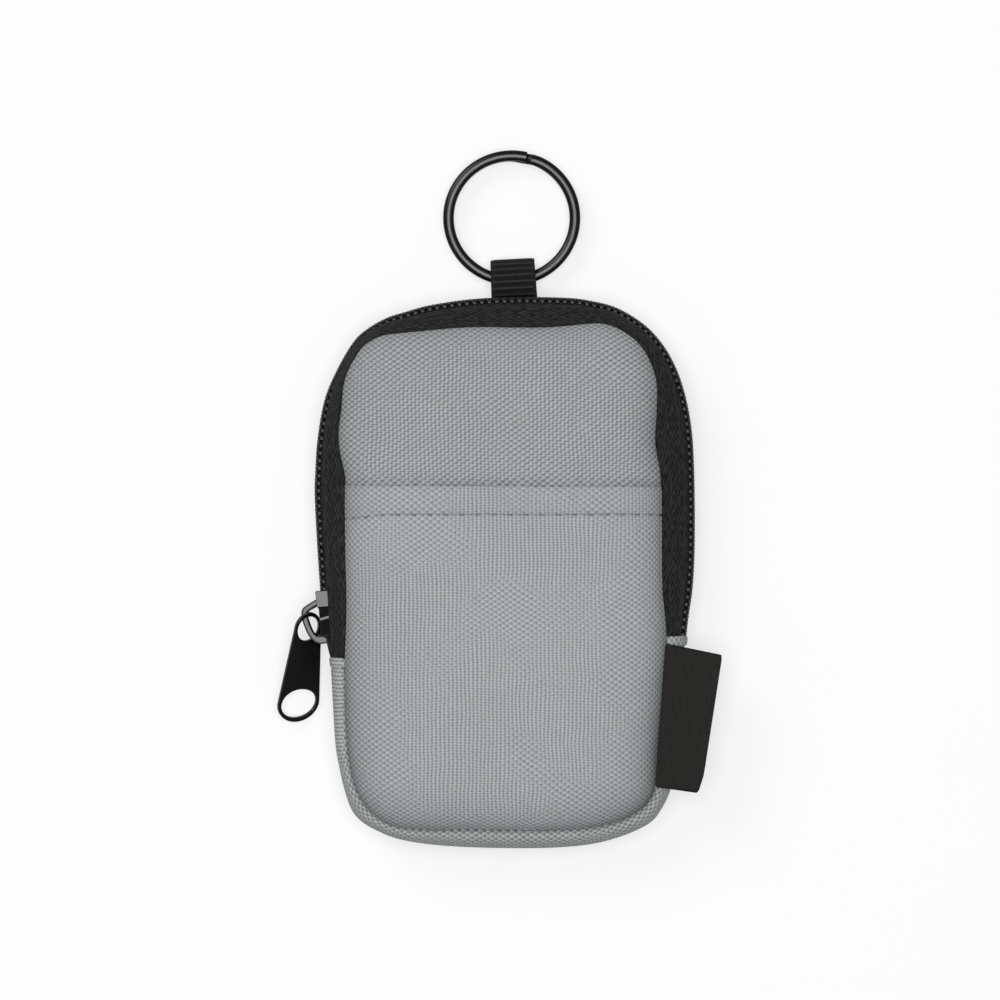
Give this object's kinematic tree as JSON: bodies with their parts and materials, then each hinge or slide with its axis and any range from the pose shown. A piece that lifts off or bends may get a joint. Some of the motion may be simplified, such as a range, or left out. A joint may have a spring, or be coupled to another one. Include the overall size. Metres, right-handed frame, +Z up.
{
  "type": "zip pouch with split key ring",
  "caption": "Small upright zip pouch with a padded front and back, a curved zip, a slip pocket, a webbing loop with a split key ring, and a side label.",
  "frame": {"origin": "on the table under the middle of the body, where the back panel rests", "axes": "the pouch lies on its back: +Z up out of the front panel, +Y towards the key ring, +X to the right in the front view"},
  "size_m": [0.0972, 0.153, 0.0213],
  "materials": {
    "grey_fabric": "plain-woven coated polyester, matte",
    "grey_lining": "thin woven lining, matte",
    "foam": "closed-cell foam sheet, hidden inside",
    "black_tape": "woven black tape and webbing, matte",
    "black_coil": "nylon coil teeth, satin",
    "black_metal": "black lacquered metal, semi-gloss",
    "black_satin": "black satin label, bare"
  },
  "bodies": {
    "pouch": {"back_panel": "grey_fabric", "back_foam": "foam", "back_lining": "grey_lining", "back_binding": "black_tape", "bottom_gusset": "grey_fabric", "gusset_lining": "grey_lining", "front_panel_lower": "grey_fabric", "front_foam_lower": "foam", "front_lining_lower": "grey_lining", "front_binding_lower": "black_tape", "pocket_panel_lower": "grey_fabric", "zip_tape_back": "black_tape", "zip_coil_back": "black_coil", "zip_tape_front_left_end": "black_tape", "zip_tape_front_right_end": "black_tape", "zip_coil_front_left_end": "black_coil", "zip_coil_front_right_end": "black_coil", "webbing_loop": "black_tape"},
    "front": {"front_panel_upper": "grey_fabric", "front_foam_upper": "foam", "front_lining_upper": "grey_lining", "front_binding_upper": "black_tape", "pocket_panel_upper": "grey_fabric", "zip_tape_front": "black_tape", "zip_coil_front": "black_coil"},
    "slider": {"slider_body": "black_metal"},
    "puller": {"puller": "black_metal"},
    "ring": {"split_ring": "black_metal"},
    "label": {"side_label": "black_satin"}
  },
  "joints": [
    {"name": "front_open", "type": "hinge", "parent": "pouch", "child": "front", "pos_m": [0, -0.003, 0.0213], "axis": [1, 0, 0], "range_deg": [0, 85]},
    {"name": "slider_travel", "type": "slide", "parent": "pouch", "child": "slider", "axis": [-0.0679, 0.9977, 0], "range_m": [0, 0.022]},
    {"name": "puller_swing", "type": "hinge", "parent": "slider", "child": "puller", "pos_m": [-0.0424, -0.0098, 0.0095], "axis": [0, 0, 1], "range_deg": [-85, 5]},
    {"name": "ring_swing", "type": "hinge", "parent": "pouch", "child": "ring", "pos_m": [0.00164, 0.0639, 0.0034], "axis": [1, 0, 0], "range_deg": [-95, 95]},
    {"name": "label_flap", "type": "hinge", "parent": "pouch", "child": "label", "pos_m": [0.03559, -0.0156, 0.0182], "axis": [-0.0788, -0.9969, 0], "range_deg": [-40, 130], "stiffness_Nm_per_rad": 0.001}
  ]
}
